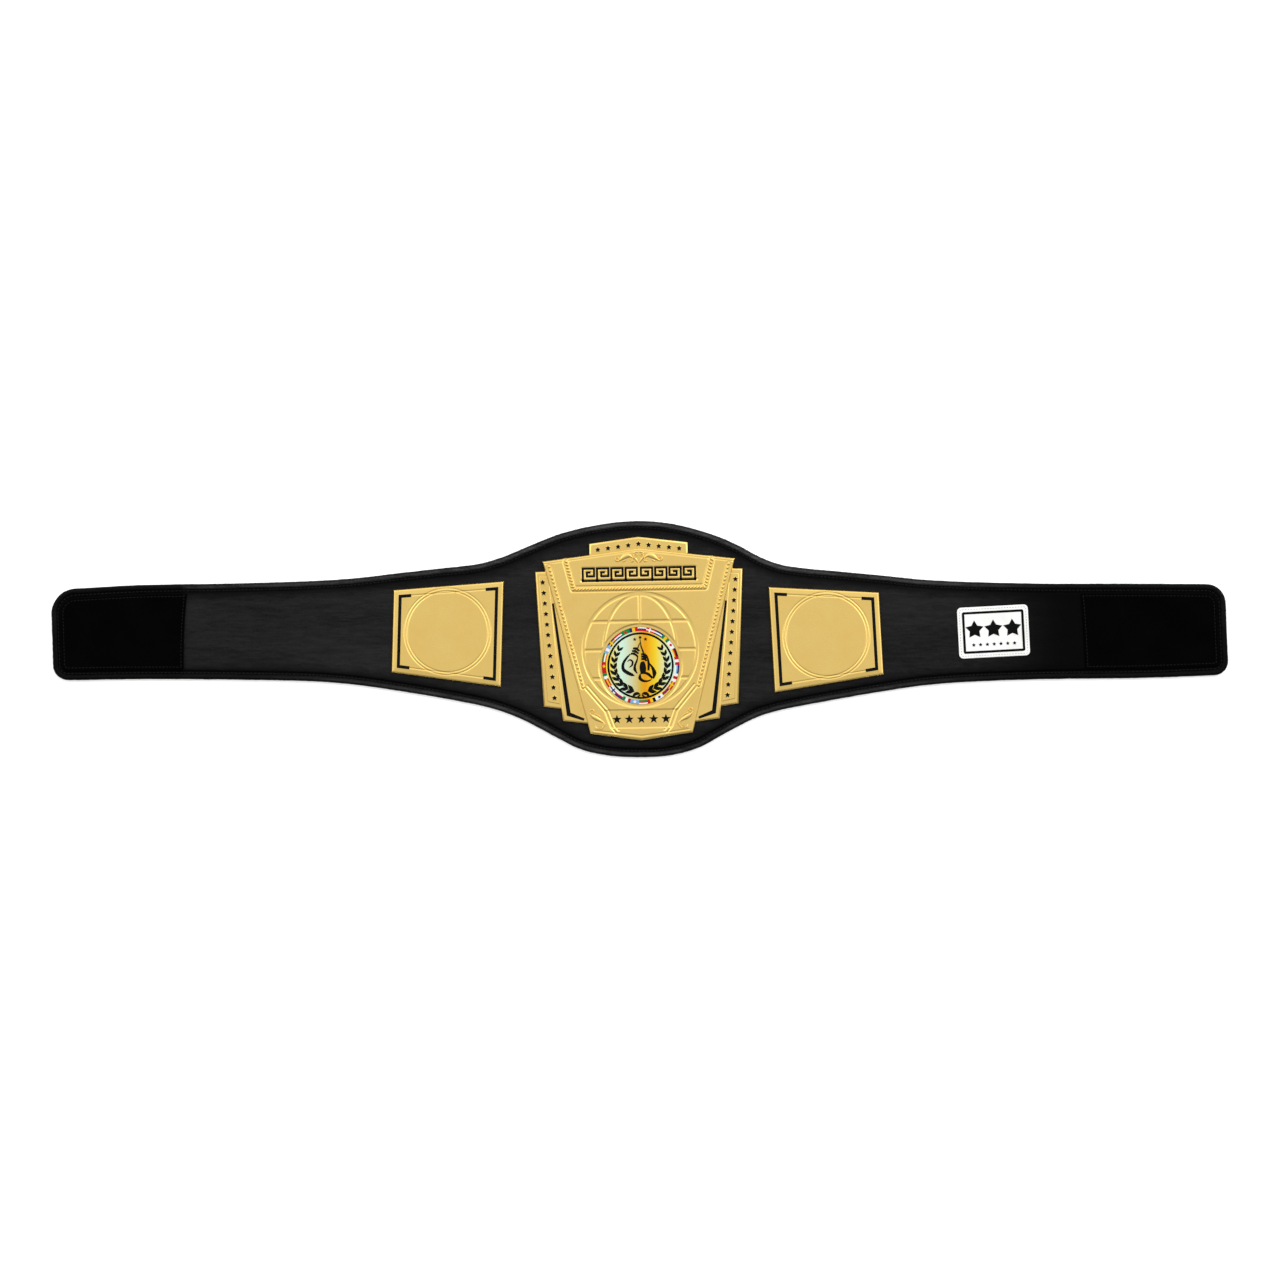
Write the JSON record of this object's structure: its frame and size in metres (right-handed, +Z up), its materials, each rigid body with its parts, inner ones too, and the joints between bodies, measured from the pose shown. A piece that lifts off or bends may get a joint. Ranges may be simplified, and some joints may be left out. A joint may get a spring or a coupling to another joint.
{
  "type": "championship title belt",
  "caption": "Title belt lying flat: padded black leather strap with rolled edge, gold shield plate with printed round medallion, gold side plates and hook-and-loop ends.",
  "frame": {"origin": "centre of the belt's footprint, on the surface that it lies on", "axes": "+X along the strap towards the end with the patch, +Y across the strap towards the top of the plates, +Z up out of the plates' faces"},
  "size_m": [1.27, 0.2548, 0.0134],
  "materials": {
    "strap_leather": "fine-grained padded black leather, soft sheen",
    "binding_leather": "rolled black leather edge with small puckers",
    "gold_plate": "satin gold-plated casting, bright on the raised edges",
    "enamel": "glossy printed and enamelled",
    "closure_loop": "matt black loop pile",
    "closure_hook": "matt black hook tape",
    "patch_cloth": "white woven patch with a black stitched frame"
  },
  "bodies": {
    "root": {"strap_panel": "strap_leather", "edge_binding": "binding_leather", "centre_plate": "gold_plate", "side_plate_left": "gold_plate", "side_plate_right": "gold_plate", "medallion": "enamel", "closure_panel_left": "closure_loop", "closure_panel_right": "closure_loop", "hook_panel_back": "closure_hook", "label_patch": "patch_cloth"}
  },
  "joints": []
}
